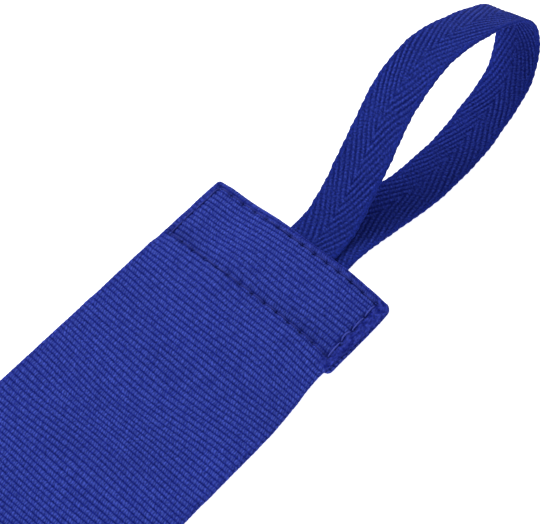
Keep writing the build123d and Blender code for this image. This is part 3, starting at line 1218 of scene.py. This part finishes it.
@dataclass
class StoredRoll:
    """The wound length of the band, with the lead, in two lengths that meet in the outermost turn."""

    path: WoundPath
    width: float
    free_length: float
    outer_step: float = 0.3
    inner_step: float = 0.6
    inner_relief: float = 0.45
    inner_packing: float = 0.06
    outer_columns: tuple[int, int] = (68, 14)
    inner_columns: tuple[int, int, int] = (3, 3, 3)
    outer_lanes: int = 3
    inner_lanes: int = 12
    drift_height: float = 0.4
    drift_start: float = 60.0
    edge_wave: float = 0.06
    edge_offset: float = 30.0
    drift: Ripple = Ripple(seed=61, shortest=90.0, longest=400.0)
    edge: Ripple = Ripple(seed=64, shortest=3.0, longest=14.0)
    weave: RibWeave = RibWeave()

    def strip(self, name: str, s: np.ndarray, ring: Ring, lanes: int, relief: float = 1.0) -> Piece:
        """A length of the wound band.

        Args:
            name: Name of the piece.
            s: Distances of its rows from the lift line.
            ring: Its cross-section.
            lanes: Lanes of its bake map.
            relief: Share of the rib's relief that its faces keep where turns press on each other.

        Returns:
            The object.
        """
        y0 = np.broadcast_to(ring.y, (len(s), len(ring.y)))
        cloth = s + self.free_length
        along = np.broadcast_to(cloth[:, None], y0.shape)
        inward = self.weave.depth * (1 - self.weave.crest(along, y0, ring)) * relief
        drift = self.drift_height * self.drift.at(along, 0 * y0)
        drift += self.edge_wave * self.edge.at(along, self.edge_offset * np.sign(y0))
        drift *= smooth((s[:, None] - self.path.lead) / self.drift_start)
        y = y0 - ring.normal_y * (self.weave.edge_pull * inward) + drift
        rings = self.path.points(s, y, ring.out - ring.normal_out * inward)
        rings[..., 2] = np.maximum(rings[..., 2], 0.0)
        worn = self.weave.selvedge(y0, self.width)
        values = {"rib": self.weave.count(along, y0), "across": y0, "hole": 0 * y0, "worn": worn}
        return strip_object(name, rings, cloth, ring.arc, values, lanes)

    def build(self) -> list[Piece]:
        """Makes the outer turn with the lead, and the turns inside it.

        Returns:
            The two pieces.
        """
        path = self.path
        split = path.lead + math.pi * sum(path.radii[-2:])
        rest = path.length - split
        outer_rows = np.arange(0, split, self.outer_step)
        outer_rows[-1] = split
        inner_rows = np.linspace(split, path.length, round(rest / self.inner_step))
        outer_ring = Ring(self.width, path.thickness, *self.outer_columns)
        # Packed turns are drawn a little thick, so that no light shows between them.
        packed = path.thickness + path.turn_gap + self.inner_packing
        inner_ring = Ring(self.width, packed, *self.inner_columns)
        outer = self.strip("band_outer_turn", outer_rows, outer_ring, self.outer_lanes)
        inner = self.strip("band_inner_turns", inner_rows, inner_ring, self.inner_lanes, self.inner_relief)
        declare(outer, "roll", "band_cloth", "band_lead")
        declare(inner, "roll", "band_cloth", "band_roll")
        return [outer, inner]


@dataclass
class Closure:
    """Hook and pile patches in the core of the roll, with their seams."""

    path: WoundPath
    width: float = 46.0
    backing: float = 0.5
    row_step: float = 0.5
    columns: tuple[int, int, int] = (70, 10, 3)
    hook_spacing: float = 1.7
    hook_margin: float = 2.5
    hook_rise: float = 0.75
    hook_lean: float = 0.35
    hook_turn: float = 2.2
    hook_radii: tuple[float, ...] = (0.16, 0.13, 0.12, 0.12, 0.11, 0.07)
    seam_inset: float = 2.0
    seam_rise: float = 0.02
    pile_give: float = 0.1
    stitch_pitch: float = 3.4
    hook_relief: float = 0.08
    pile_relief: float = 0.5
    hook_rough: Ripple = Ripple(seed=71, shortest=0.8, longest=2.0)
    pile_rough: Ripple = Ripple(seed=73, shortest=0.7, longest=2.2, waves=16)
    thread: SewingThread = SewingThread(points=10, sides=8, sink=0.35)

    def patch(
        self, name: str, run: float, face: Side, thickness: float, rough: Ripple, relief: float
    ) -> Piece:
        """A patch on one face of the band, as a strip that follows its turns to their end.

        Args:
            name: Name of the piece.
            run: Length of it.
            face: The band's face that it is sewn to.
            thickness: Thickness of the strip.
            rough: Unevenness of its open face.
            relief: Height of that unevenness.

        Returns:
            The object.
        """
        s = np.linspace(self.path.length - run, self.path.length, round(run / self.row_step))
        ring = Ring(self.width, thickness, *self.columns)
        y0 = np.broadcast_to(ring.y, (len(s), len(ring.y)))
        crest = 0.5 + 0.5 * rough.at(np.broadcast_to(s[:, None], y0.shape), y0)
        raised = ring.out - ring.normal_out * relief * (1 - crest) * (ring.normal_out > 0.5)
        rings = self.path.points(s, y0, face.value * ((self.path.thickness + thickness) / 2 + raised))
        return strip_object(name, rings, s, ring.arc, {"nap": crest})

    def hooks(self, run: float) -> list[Facets]:
        """Bent nylon hooks that stand on the hook patch's backing, every other one the other way.

        Args:
            run: Length of the patch.

        Returns:
            One small mesh for each hook.
        """
        count = len(self.hook_radii)
        bend = np.linspace(0, self.hook_turn, count)
        out = self.path.thickness / 2 + self.backing + self.hook_rise * np.sin(bend)
        lean = self.hook_lean * (1 - np.cos(bend))
        square = np.array([[1, 0, 0], [0, 1, 0], [-1, 0, 0], [0, -1, 0]])
        spokes = np.array(self.hook_radii)[:, None, None] * square[None]
        last = (count - 1) * len(square)
        ends = [[3, 2, 1, 0], [last, last + 1, last + 2, last + 3]]
        faces = np.concatenate([ring_faces(count, len(square)), ends])
        columns = int((self.width - 2 * self.hook_margin) / self.hook_spacing)
        parts = []
        for row in range(int(run / self.hook_spacing)):
            s = np.full(count, self.path.length - run + (row + 0.5) * self.hook_spacing)
            for column in range(columns):
                y = (column - (columns - 1) / 2) * self.hook_spacing
                line = self.path.points(s, y + (1 if (row + column) % 2 else -1) * lean, out)
                parts.append(((line[:, None] + spokes).reshape(-1, 3), faces))
        return parts

    def seam(self, name: str, run: float, face: Side, thickness: float) -> Piece:
        """Two rows of stitches along a patch's long edges, on its open face.

        Args:
            name: Name of the piece.
            run: Length of the patch.
            face: The band's face that it is sewn to.
            thickness: How far the stitches lie from that face.

        Returns:
            The object.
        """
        out = face.value * (self.path.thickness / 2 + thickness + self.seam_rise - self.thread.dive)
        parts = []
        for edge in (-1, 1):
            y = np.full_like(out, edge * (self.width / 2 - self.seam_inset))
            for k in range(int(run / self.stitch_pitch)):
                s = self.path.length - run + (k + self.thread.shares) * self.stitch_pitch
                up = np.insert(self.path.frames(s)[1], 1, 0.0, axis=1) * face.value
                parts.append(self.thread.tube(self.path.points(s, y, out), up))
        return parts_object(name, parts)

    def build(self) -> dict[str, Piece]:
        """Makes both patches, the hooks and the seams.

        Returns:
            The five pieces by name.
        """
        path = self.path
        hook_run, pile_run = path.core_run(path.hook_half_turns), path.core_run(path.pile_half_turns)
        hook = self.patch(
            "hook_patch_backing", hook_run, Side.UPPER, self.backing, self.hook_rough, self.hook_relief
        )
        pile = self.patch(
            "pile_patch_nap", pile_run, Side.LOWER, path.pile_thickness, self.pile_rough, self.pile_relief
        )
        hooks = parts_object("hook_patch_hooks", self.hooks(hook_run))
        declare(hook, "roll", "hook_tape", "hook_patch")
        declare(pile, "roll", "pile_tape", "pile_patch")
        declare(hooks, "roll", "hook_tape")
        hook_seam = self.seam("hook_patch_thread", hook_run, Side.UPPER, self.backing)
        pile_out = path.pile_thickness - self.pile_give
        pile_seam = self.seam("pile_patch_thread", pile_run, Side.LOWER, pile_out)
        declare(hook_seam, "roll", "sewing_thread", "hook_patch_stitching")
        declare(pile_seam, "roll", "sewing_thread", "pile_patch_stitching")
        return {"hook": hook, "hooks": hooks, "pile": pile, "hook_seam": hook_seam, "pile_seam": pile_seam}


# ---------------------------------------------------------------- finishes


@dataclass(frozen=True)
class Finish:
    """A material's name, and the way in which every finish here starts and ends."""

    name: str

    def start(self) -> tuple[bpy.types.Material, Callable]:
        """Makes the material with an empty tree.

        Returns:
            The material, and the function that adds a node to its tree.
        """
        material = bpy.data.materials.new(self.name)
        material.use_nodes = True
        material.node_tree.nodes.clear()
        return material, partial(add_node, material.node_tree)

    @staticmethod
    def close(add: Callable, sockets: dict) -> None:
        """Ends a tree with its shader and output.

        Args:
            add: Adds a node to the material's tree.
            sockets: Values, nodes or outputs for the shader's sockets by name.
        """
        add("OutputMaterial", {"Surface": add("BsdfPrincipled", sockets)})


@dataclass(frozen=True)
class DyedCloth(Finish):
    """What every dyed cloth here shares: fibres, uneven dye, and painted shade in needle holes and beside the
    hem's inner row.

    Real fibres are about 0.02 mm thick and would not show, so they are drawn 0.24 mm thick. They break up
    the weave's clean tones, so that the cloth looks dull and soft.
    """

    # Painted shade: the colour that needle holes, and the band beside the hem's inner row, are darkened
    # towards.
    hole: str = "#070C38"
    fibre_mm: float = 0.24
    fibre_tone: tuple[float, float] = (0.6, 1.45)
    fibre_relief_mm: float = 0.04
    fibre_strength: float = 0.5
    tone_mm: float = 14.0
    dye_tone: tuple[float, float] = (0.95, 1.05)
    relief_mm: float = 0.1
    relief_strength: float = 0.9
    roughness: float = 0.85
    specular: float = 0.08
    sheen: float = 0.06
    sheen_roughness: float = 0.5
    sheen_tint: str = "#5A68D8"

    def finish(self, add: Callable, colour: bpy.types.Node, height: bpy.types.Node) -> None:
        """Adds fibres, uneven dye, painted shade in needle holes and relief to a weave, with the shader.

        Args:
            add: Adds a node to the material's tree.
            colour: Node that gives the weave's colour.
            height: Node that gives the weave's height.
        """
        cloth = add("UVMap", uv_map=CLOTH_MAP)
        fibre = add("TexNoise", {"Vector": cloth, "Scale": CLOTH_MAP_MM / self.fibre_mm / 2, "Detail": 3.0})
        tone = add("TexNoise", {"Vector": cloth, "Scale": CLOTH_MAP_MM / self.tone_mm, "Detail": 2.0})
        fibre_tone = add("MapRange", (fibre, *NOISE_RANGE, *self.fibre_tone))
        dye_tone = add("MapRange", (tone, *NOISE_RANGE, *self.dye_tone))
        both = add("Math", (fibre_tone, dye_tone), operation="MULTIPLY")
        toned = add("VectorMath", {0: colour, "Scale": both}, operation="SCALE")
        # Painted shade: the hole share darkens the weave towards the hole colour.
        hole = add("Attribute", attribute_name="hole").outputs["Fac"]
        painted_shade_colour = add("Mix", {SHARE: hole, FIRST: toned, SECOND: srgb(self.hole)}, data_type="RGBA")
        weave = {"Height": height, "Strength": self.relief_strength, "Distance": self.relief_mm * MM}
        fluff = {"Height": fibre, "Strength": self.fibre_strength, "Distance": self.fibre_relief_mm * MM}
        self.close(
            add,
            {
                "Base Color": painted_shade_colour,
                "Normal": add("Bump", {**fluff, "Normal": add("Bump", weave)}),
                "Roughness": self.roughness,
                "Specular IOR Level": self.specular,
                "Sheen Weight": self.sheen,
                "Sheen Roughness": self.sheen_roughness,
                "Sheen Tint": srgb(self.sheen_tint),
            },
        )


@dataclass(frozen=True)
class RibbedElastic(DyedCloth):
    """Woven polyester and rubber elastic, dyed royal blue: dull, with painted highlights on its floats and
    painted shade in its narrow grooves.

    Where the hem is rubbed, curled fibre ends hide the ribs. They are drawn coarser than real ones, so
    that they show.
    """

    name: str = "royal_blue_ribbed_elastic"
    # Painted shade and light: groove is the colour of the shaded grooves, crest that of the lit floats.
    groove: str = "#020E74"
    crest: str = "#4456BE"
    worn_low: str = "#101B78"
    worn_high: str = "#3542AC"
    fuzz_mm: float = 0.55
    float_mm: float = 0.58
    float_tone: tuple[float, float] = (0.78, 1.24)
    float_swell: float = -0.3
    float_level: float = 0.72
    slant: float = 0.5
    fullness: float = 0.75
    wander_mm: float = 1.6
    wander: float = 1.6

    def build(self) -> bpy.types.Material:
        """Makes the material: rows of floats, each row started by chance, with painted shade in the grooves
        between and painted highlights on the floats.

        Returns:
            The material.
        """
        material, add = self.start()
        rib, across, worn = (
            add("Attribute", attribute_name=key).outputs["Fac"] for key in ("rib", "across", "worn")
        )
        cloth = add("UVMap", uv_map=CLOTH_MAP)
        row = add("Math", (rib,), operation="FLOOR")
        share = add("Math", (rib,), operation="FRACT")
        angle = add("Math", (share, math.pi), operation="MULTIPLY")
        sine = add("Math", (angle,), operation="SINE")
        profile = add("Math", (sine, self.fullness), operation="POWER")
        first = add("TexWhiteNoise", {"W": row}, noise_dimensions="1D")
        slanted = add("Math", (share, self.slant, first), operation="MULTIPLY_ADD")
        uneven = add("TexNoise", {"Vector": cloth, "Scale": CLOTH_MAP_MM / self.wander_mm, "Detail": 1.0})
        wander = add("Math", (uneven, self.wander, slanted), operation="MULTIPLY_ADD")
        place = add("Math", (across, 1 / self.float_mm), operation="MULTIPLY")
        number = add("Math", (place, wander), operation="ADD")
        turn = add("Math", (number, TURN), operation="MULTIPLY")
        swell = add("Math", (turn,), operation="COSINE")
        floats = add("Math", (swell, self.float_swell, self.float_level), operation="MULTIPLY_ADD")
        height = add("Math", (profile, floats), operation="MULTIPLY")
        whole = add("Math", (number,), operation="FLOOR")
        cell = add("CombineXYZ", (whole, row))
        chance = add("TexWhiteNoise", {"Vector": cell}, noise_dimensions="3D")
        lit = add("MapRange", (chance, 0.0, 1.0, *self.float_tone))
        level = add("Math", (height, lit), operation="MULTIPLY")
        # Painted shade and highlight: the colour runs from the groove colour to the crest colour with the
        # rib's height, each float lit a little differently by chance.
        painted_light_and_shade_colours = {SHARE: level, FIRST: srgb(self.groove), SECOND: srgb(self.crest)}
        lit_and_shaded_yarn = add("Mix", painted_light_and_shade_colours, data_type="RGBA")
        fuzz = add("TexNoise", {"Vector": cloth, "Scale": CLOTH_MAP_MM / self.fuzz_mm / 2, "Detail": 1.0})
        curl = add("MapRange", (fuzz, *NARROW_NOISE_RANGE, 0.0, 1.0))
        nap_colours = {SHARE: curl, FIRST: srgb(self.worn_low), SECOND: srgb(self.worn_high)}
        napped = add("Mix", nap_colours, data_type="RGBA")
        rubbed = add("Mix", {SHARE: worn, FIRST: lit_and_shaded_yarn, SECOND: napped}, data_type="RGBA")
        self.finish(add, rubbed, height)
        return material


@dataclass(frozen=True)
class HerringboneCotton(DyedCloth):
    """Cotton twill tape, piece dyed royal blue: duller and darker than the band, with a plain selvedge."""

    name: str = "royal_blue_herringbone_cotton"
    # Painted shade and light: groove is the colour of the shade between the wales, crest that of the lit
    # yarns.
    groove: str = "#000A58"
    crest: str = "#2F41A4"
    worn: str = "#1B2B86"
    tone_mm: float = 9.0
    yarn_mm: float = 0.78
    yarn_swell: float = 0.24
    yarn_level: float = 0.8
    press_mm: float = 7.0
    wale_depth: tuple[float, float] = (0.2, 0.42)
    wale_level: float = 0.6
    wander_mm: float = 1.8
    wander: float = 3.2
    relief_mm: float = 0.09
    roughness: float = 0.9
    sheen: float = 0.03
    fibre_tone: tuple[float, float] = (0.5, 1.6)

    def build(self) -> bpy.types.Material:
        """Makes the material: yarns along the wales, each wale started by chance and pressed unevenly, with
        painted shade between the wales and painted light on the yarns.

        Returns:
            The material.
        """
        material, add = self.start()
        lean = math.radians(TAPE_LEAN_DEG)
        wale, along, across, worn = (
            add("Attribute", attribute_name=key).outputs["Fac"] for key in ("wale", "along", "across", "worn")
        )
        cloth = add("UVMap", uv_map=CLOTH_MAP)
        angle = add("Math", (wale, TURN), operation="MULTIPLY")
        wave = add("Math", (angle,), operation="COSINE")
        pressed = add("TexNoise", {"Vector": cloth, "Scale": CLOTH_MAP_MM / self.press_mm, "Detail": 1.0})
        depth = add("MapRange", (pressed, *NARROW_NOISE_RANGE, *self.wale_depth))
        ridge = add("Math", (wave, depth, self.wale_level), operation="MULTIPLY_ADD")
        shifted = add("Math", (wale, 0.5), operation="ADD")
        row = add("Math", (shifted,), operation="FLOOR")
        side = add("Math", (across,), operation="SIGN")
        first = add("TexWhiteNoise", {"Vector": add("CombineXYZ", (row, side))}, noise_dimensions="3D")
        out = add("Math", (across,), operation="ABSOLUTE")
        run = add("Math", (along, math.cos(lean) / self.yarn_mm), operation="MULTIPLY")
        place = add("Math", (out, math.sin(lean) / self.yarn_mm, run), operation="MULTIPLY_ADD")
        uneven = add("TexNoise", {"Vector": cloth, "Scale": CLOTH_MAP_MM / self.wander_mm, "Detail": 1.0})
        wander = add("Math", (uneven, self.wander, first), operation="MULTIPLY_ADD")
        number = add("Math", (place, wander), operation="ADD")
        turn = add("Math", (number, TURN), operation="MULTIPLY")
        swell = add("Math", (turn,), operation="COSINE")
        floats = add("Math", (swell, self.yarn_swell, self.yarn_level), operation="MULTIPLY_ADD")
        height = add("Math", (ridge, floats), operation="MULTIPLY")
        # Painted shade and highlight: the colour runs from the groove colour to the crest colour with the
        # weave's height.
        painted_light_and_shade_colours = {SHARE: height, FIRST: srgb(self.groove), SECOND: srgb(self.crest)}
        lit_and_shaded_yarn = add("Mix", painted_light_and_shade_colours, data_type="RGBA")
        edge = add("Mix", {SHARE: worn, FIRST: lit_and_shaded_yarn, SECOND: srgb(self.worn)}, data_type="RGBA")
        self.finish(add, edge, height)
        return material


@dataclass(frozen=True)
class BrushedPile(DyedCloth):
    """Brushed nylon loop pile: soft and matt, with painted light on its raised loops and painted shade
    between them.
    """

    name: str = "blue_brushed_pile"
    # Painted shade and light: low is the shaded ground between the loops, high their lit tips.
    low: str = "#0C1554"
    high: str = "#2F3D9C"
    tone_mm: float = 6.0
    roughness: float = 0.95
    sheen: float = 0.3

    def build(self) -> bpy.types.Material:
        """Makes the material: tips paler with painted light, over a ground darkened with painted shade.

        Returns:
            The material.
        """
        material, add = self.start()
        nap = add("Attribute", attribute_name="nap").outputs["Fac"]
        level = add("MapRange", (nap, 0.1, 0.9, 0.0, 1.0))
        # Painted shade and light: the colour runs from the low colour to the high colour with the pile's
        # height.
        loops = add("Mix", {SHARE: level, FIRST: srgb(self.low), SECOND: srgb(self.high)}, data_type="RGBA")
        self.finish(add, loops, level)
        return material


@dataclass(frozen=True)
class SpunPolyester(Finish):
    """Spun polyester sewing thread, dyed to match: smoother than the cloth, so it catches a little light.

    Its fibres are drawn 0.2 mm thick, about ten times as thick as real ones, so that they show.
    """

    name: str = "blue_spun_polyester_thread"
    dark: str = "#111B70"
    light: str = "#2C3AA4"
    fibre_mm: float = 0.2
    relief_mm: float = 0.03

    def build(self) -> bpy.types.Material:
        """Makes the material: fine streaks of lighter fibre over a dark core.

        Returns:
            The material.
        """
        material, add = self.start()
        place = add("TexCoord").outputs["Object"]
        streak = add("TexNoise", {"Vector": place, "Scale": 1 / (self.fibre_mm * MM), "Detail": 3.0})
        colours = {SHARE: streak, FIRST: srgb(self.dark), SECOND: srgb(self.light)}
        colour = add("Mix", colours, data_type="RGBA")
        bump = add("Bump", {"Height": streak, "Strength": 0.4, "Distance": self.relief_mm * MM})
        self.close(add, {"Base Color": colour, "Normal": bump, "Roughness": 0.6, "Specular IOR Level": 0.3})
        return material


@dataclass(frozen=True)
class MouldedNylon(Finish):
    """Drawn nylon hooks on a woven nylon ground: stiff and slightly glossy."""

    name: str = "dark_blue_nylon_hook"
    dark: str = "#141D66"
    light: str = "#2A3790"
    grain_mm: float = 0.5

    def build(self) -> bpy.types.Material:
        """Makes the material: a faint mottle under a light gloss.

        Returns:
            The material.
        """
        material, add = self.start()
        place = add("TexCoord").outputs["Object"]
        grain = add("TexNoise", {"Vector": place, "Scale": 1 / (self.grain_mm * MM), "Detail": 2.0})
        colours = {SHARE: grain, FIRST: srgb(self.dark), SECOND: srgb(self.light)}
        colour = add("Mix", colours, data_type="RGBA")
        self.close(add, {"Base Color": colour, "Roughness": 0.4, "IOR": 1.53})
        return material


@dataclass(frozen=True)
class StudioPaper(Finish):
    """Matt white background paper, lit evenly so that it stays pale and plain."""

    name: str = "white_studio_paper"
    white: str = "#FBFBFB"
    glow: float = 0.85

    def build(self) -> bpy.types.Material:
        """Makes the material.

        Returns:
            The material.
        """
        material, add = self.start()
        white = srgb(self.white)
        matt = {"Base Color": white, "Roughness": 1.0, "Specular IOR Level": 0.0}
        self.close(add, {**matt, "Emission Color": white, "Emission Strength": self.glow})
        return material


# ---------------------------------------------------------------- studio


@dataclass(frozen=True)
class Studio:
    """Camera, soft light and pale paper. The camera looks down on the hem from beyond the loop's left."""

    aim: tuple[float, float, float] = (-6.91, 2.84, 0.0)
    heading_deg: float = 47.88
    elevation_deg: float = 59.78
    distance: float = 377.0
    lens_mm: float = 115.4
    sensor_mm: float = 36.0
    clip: tuple[float, float] = (10.0, 20000.0)
    paper_size: float = 6000.0
    paper_drop: float = 0.1
    sky: float = 0.53
    key_place: tuple[float, float, float] = (-60.0, 520.0, 560.0)
    key_size: float = 420.0
    key_power: float = 2.9

    def stand(self, name: str, data: bpy.types.ID, place: Vector) -> bpy.types.Object:
        """Stands a camera or a lamp somewhere, facing the hem.

        Args:
            name: Name of the new object.
            data: The camera or the lamp.
            place: Where it stands.

        Returns:
            The object.
        """
        holder = link(name, data)
        holder.location = place * MM
        holder.rotation_mode = "QUATERNION"
        holder.rotation_quaternion = (Vector(self.aim) - place).to_track_quat("-Z", "Y")
        return holder

    def camera(self) -> None:
        """Makes the camera."""
        heading, elevation = math.radians(self.heading_deg), math.radians(self.elevation_deg)
        level = math.cos(elevation)
        forward = Vector((math.sin(heading) * level, math.cos(heading) * level, -math.sin(elevation)))
        data = bpy.data.cameras.new("studio_camera")
        data.sensor_width, data.lens = self.sensor_mm, self.lens_mm
        data.clip_start, data.clip_end = (limit * MM for limit in self.clip)
        place = Vector(self.aim) - forward * self.distance
        bpy.context.scene.camera = self.stand("studio_camera", data, place)

    def lamp(self) -> None:
        """Makes the square soft lamp."""
        data = bpy.data.lights.new("key_softbox", "AREA")
        data.shape, data.size, data.energy = "SQUARE", self.key_size * MM, self.key_power
        self.stand("key_softbox", data, Vector(self.key_place))

    def paper(self) -> None:
        """Makes the pale floor, a little below the cloth."""
        half = self.paper_size / 2 * MM
        mesh = bpy.data.meshes.new("studio_floor")
        corners = [(-half, -half, 0), (half, -half, 0), (half, half, 0), (-half, half, 0)]
        mesh.from_pydata(corners, [], [(0, 1, 2, 3)])
        mesh.materials.append(StudioPaper().build())
        floor = link("studio_floor", mesh)
        floor.location.z = -self.paper_drop * MM

    def build(self) -> None:
        """Sets up everything round the object."""
        world = bpy.data.worlds.new("studio_world")
        world.use_nodes = True
        background = world.node_tree.nodes["Background"]
        background.inputs["Color"].default_value = srgb("#FFFFFF")
        background.inputs["Strength"].default_value = self.sky
        bpy.context.scene.world = world
        bpy.context.scene.view_settings.view_transform = "Standard"
        self.camera()
        self.lamp()
        self.paper()


# ---------------------------------------------------------------- assembly


def dress(pieces: list[Piece], material: bpy.types.Material) -> None:
    """Gives pieces their material.

    Args:
        pieces: The pieces.
        material: The material that all of them get.
    """
    for piece in pieces:
        piece.data.materials.clear()
        piece.data.materials.append(material)


def main() -> None:
    """Builds and dresses the hand wrap in order."""
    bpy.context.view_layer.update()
    Studio().build()
    log.info("studio ready")

    names = ("band_lead", "thumb_loop_ends", "thumb_loop")
    (lead_low, lead_high), (tails_low, tails_high), (loop_low, _) = (box_mm(name).tolist() for name in names)
    band_width, band_thickness = lead_high[1] - lead_low[1], lead_high[2] - lead_low[2]
    upper_y, upper_z = tails_high[1] - TAPE_WIDTH / 2, tails_high[2] - TAPE_THICKNESS / 2
    lower_y, lower_z = tails_low[1] + TAPE_WIDTH / 2, tails_low[2] + TAPE_THICKNESS / 2

    free_end = FreeEnd(
        width=band_width,
        thickness=band_thickness,
        stack=tails_high[2],
        lift_x=lead_high[0],
        tape_low_y=tails_low[1],
        tape_high_y=tails_high[1],
    )
    band = [free_end.build()]
    log.info("free end made")

    loop = ThumbTape(loop_low[0], tails_low[0], (upper_y, upper_z), (lower_y, lower_z)).build()
    log.info("thumb tape made")

    lower_edges = (lower_y - TAPE_WIDTH / 2, lower_y + TAPE_WIDTH / 2)
    threads = HemSeam(free_end, lower_edges, upper_z - TAPE_THICKNESS / 2).build()
    log.info("hem seam made")

    path = WoundPath(
        thickness=band_thickness,
        roll_x=lead_low[0],
        lead=lead_high[0] - lead_low[0],
        laid=free_end.flap_length - lead_high[0],
    )
    band += StoredRoll(path, band_width, -free_end.lift_x - free_end.fold_outside).build()
    log.info("roll made, outer radius %.2f mm", path.radii[-1])
    closure = Closure(path).build()
    log.info("closure made")

    dress(band, RibbedElastic().build())
    dress([loop], HerringboneCotton().build())
    dress([*threads, closure["hook_seam"], closure["pile_seam"]], SpunPolyester().build())
    # Painted highlight: the right row's slack stitches get a lighter copy of the same thread.
    highlighted_thread = SpunPolyester(name="highlighted_blue_spun_polyester_thread", dark="#2430A0", light="#5563CC")
    dress([piece for piece in threads if "right_row" in piece.name], highlighted_thread.build())
    dress([closure["hook"], closure["hooks"]], MouldedNylon().build())
    dress([closure["pile"]], BrushedPile().build())


if __name__ == "__main__":
    logging.basicConfig(level=logging.INFO)
    main()
